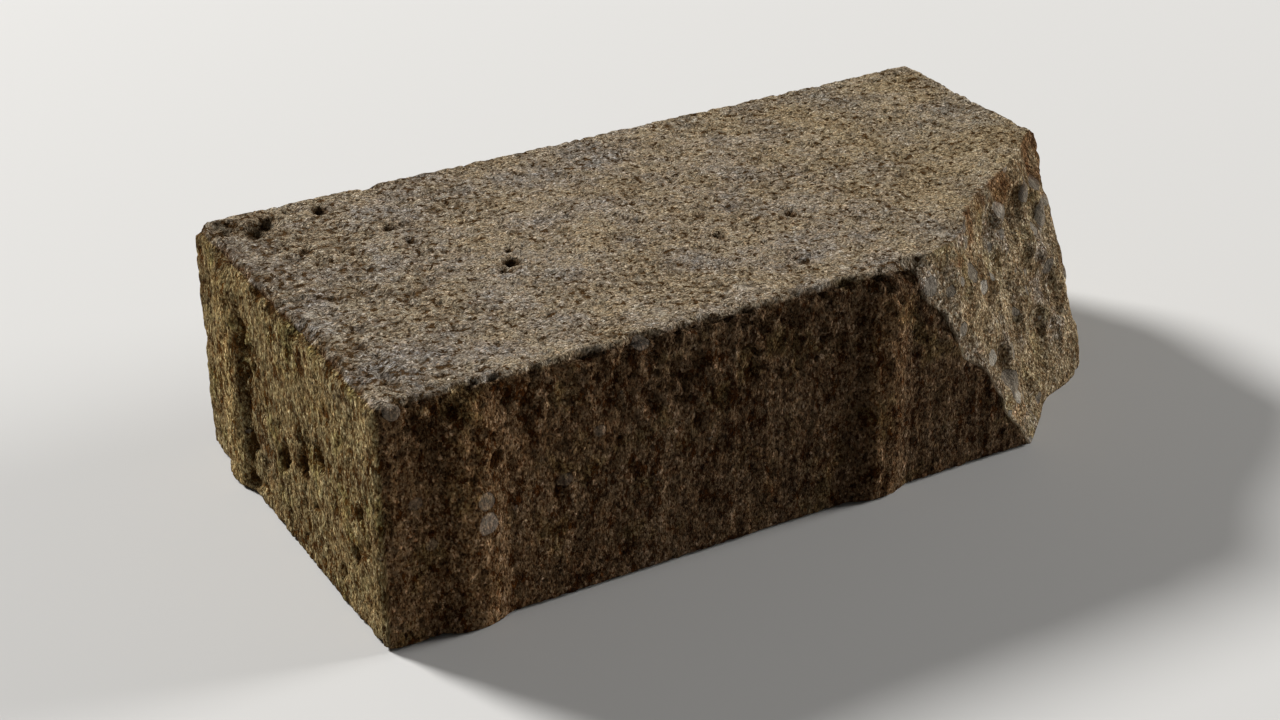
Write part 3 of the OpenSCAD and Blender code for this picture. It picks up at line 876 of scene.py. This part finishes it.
# Painted shade, partly dirt: the grain's low places and the skin's hollows are darkened.
in_hollow_dirt_and_shade = between(attribute("hollow") + (gaps - 0.5) * 3.0, 0.32, 0.52) * 0.92
sunken_dirt_and_shade = larger(larger(larger(larger(holes, clefts), seams * 0.8), specks * 0.85), in_hollow_dirt_and_shade)
pitted_and_shaded = tinted(sunken_dirt_and_shade, speckled, mixed(on_walk, SIDE_DIRT_AND_SHADE, WALK_DIRT_AND_SHADE))
# Painted shade: the bottom of the deepest hollows is darkened further.
deepest = between(attribute("hollow") + (gaps - 0.5) * 2.5, 0.62, 0.92) * 0.55
pitted_and_shaded = tinted(deepest, pitted_and_shaded, DEEP_PAINTED_SHADE)
print("with the dirt", len(Wire.tree.nodes), "nodes")

# %% [markdown]
# Stones run from dark to pale grey by their tone. On the worn faces most of their colour is
# lost under dirt, and in the fracture they are nearly clean. Last come the rusty stains of the
# fracture.

# %% Stones and stains
RUST_STAIN = (0.52, 0.34, 0.22, 1)
stone_mask = between(attribute("stone_rim") + (noise(where, 650.0) - 0.5) * 0.9, 0.0, 0.25)
stone_colour = ramp(attribute("stone_tone"), (0.10, (0.128, 0.112, 0.092)), (0.40, (0.170, 0.150, 0.124)),
                    (0.60, (0.205, 0.178, 0.142)), (0.80, (0.275, 0.248, 0.205)),
                    (1.0, (0.420, 0.388, 0.330)))
dusted = mixed(0.68 - on_break * 0.48, stone_colour, pitted_and_shaded)
stoned = mixed(stone_mask, pitted_and_shaded, dusted)
rust = between(attribute("stain") + (noise(where, 220.0) - 0.5) * 1.1, 0.35, 0.80)
stained = tinted(rust * 0.8, stoned, RUST_STAIN)
print("with stones and stains", len(Wire.tree.nodes), "nodes")

# %% [markdown]
# Light picks out each grain, so the same fields are also the height of the bump, a millimetre
# to the unit. Stones are smoother than the sand around them.

# %% Bump and shader
height = (pebbly * coarse_share * -1.0 + gritty * (-0.55 - on_walk * 0.1) + sandy * -0.32
          + pitting * (1.8 - on_walk * 0.9) + crumbs * (0.95 - on_walk * 0.25)
          - holes * 0.6 - clefts * 0.6 + gaps * (1.4 - on_walk * 0.5))
height = height * (1 - stone_mask * 0.6)
bump = Wire.node("ShaderNodeBump", {}, {"Strength": 1.0, "Distance": MM, "Height": height})
surface = Wire.node("ShaderNodeBsdfPrincipled", {}, {
    "Base Color": stained, "Roughness": 0.95, "Specular IOR Level": 0.02, "Normal": bump})
Wire.node("ShaderNodeOutputMaterial", {}, {"Surface": surface})
mesh.materials.append(concrete)
print(len(Wire.tree.nodes), "nodes in the concrete")

# %% [markdown]
# ## Studio
#
# A pale floor, a soft lamp far behind on the left that rakes over the walking face, and one off
# the broken end that only grazes the front, so that the ribs show. The rest of the front's light
# comes up from the floor, and it stays in soft shade, as in the photo. Both lamps stand far off,
# so that the floor is lit evenly.

# %% Floor
FLOOR_HALF = 8.0

def plain(name, colour, rough):
    """Material of one colour and roughness all over."""
    material = bpy.data.materials.new(name)
    material.use_nodes = True
    shader = material.node_tree.nodes["Principled BSDF"]
    shader.inputs["Base Color"].default_value = (*colour, 1)
    shader.inputs["Roughness"].default_value = rough
    return material

floor_corners = [(FLOOR_HALF * x, FLOOR_HALF * y, 0) for x, y in ((-1, -1), (1, -1), (1, 1), (-1, 1))]
floor_mesh = bpy.data.meshes.new("studio_floor")
floor_mesh.from_pydata(floor_corners, [], [(0, 1, 2, 3)])
floor_mesh.materials.append(plain("pale_floor", (0.60, 0.59, 0.57), 0.9))
floor = bpy.data.objects.new("studio_floor", floor_mesh)
bpy.context.scene.collection.objects.link(floor)
print("floor", 2 * FLOOR_HALF, "m wide")

# %% Lamps
LAMP_AIM = (0, 0, 0.03)
WORLD_COLOUR, WORLD_STRENGTH = (1.0, 0.98, 0.95, 1), 0.07

def softbox(name, place, size, power):
    """Round area lamp at a place, turned so that its face looks at the brick's middle."""
    data = bpy.data.lights.new(name, "AREA")
    data.shape, data.size, data.energy = "DISK", size, power
    lamp = bpy.data.objects.new(name, data)
    turned = (Vector(LAMP_AIM) - Vector(place)).to_track_quat("-Z", "Y")
    lamp.matrix_world = Matrix.Translation(place) @ turned.to_matrix().to_4x4()
    bpy.context.scene.collection.objects.link(lamp)
    print("lamp", name, "of", power, "W")

softbox("from_behind", (-1.92, 3.68, 2.87), size=1.12, power=384.0)
softbox("from_right", (4.50, -0.72, 1.07), size=1.6, power=264.0)

world = bpy.data.worlds.new("studio")
world.use_nodes = True
world.node_tree.nodes["Background"].inputs["Color"].default_value = WORLD_COLOUR
world.node_tree.nodes["Background"].inputs["Strength"].default_value = WORLD_STRENGTH
bpy.context.scene.world = world
bpy.context.scene.view_settings.view_transform = "Standard"

# %% [markdown]
# ## Camera
#
# The place and lens were fitted to the photo's edges, so the brick fills the same part of the
# picture. The focal length is known in pixels of a picture 1280 wide, and the sensor turns it
# into millimetres.

# %% Camera
SENSOR, FOCAL_PIXELS, PICTURE_PIXELS = 36.0, 2209, 1280
CAMERA_PLACE = (-0.25368, -0.41180, 0.28017)
CAMERA_FORWARD, CAMERA_RIGHT = (0.44506, 0.75856, -0.47592), (0.86276, -0.50562, 0.00092)
camera_data = bpy.data.cameras.new("photo_view")
camera_data.sensor_width, camera_data.lens = SENSOR, SENSOR * FOCAL_PIXELS / PICTURE_PIXELS
camera_data.clip_start = 0.01
camera = bpy.data.objects.new("photo_view", camera_data)
forward = Vector(CAMERA_FORWARD).normalized()
right = Vector(CAMERA_RIGHT)
right = (right - forward * right.dot(forward)).normalized()
up = right.cross(forward)
turn = Matrix((right, up, -forward)).transposed().to_4x4()
camera.matrix_world = Matrix.Translation(CAMERA_PLACE) @ turn
bpy.context.scene.collection.objects.link(camera)
bpy.context.scene.camera = camera
print("lens of %.1f mm" % camera_data.lens)

# %% [markdown]
# The last cell brings the scene up to date.

# %% Finish
bpy.context.view_layer.update()
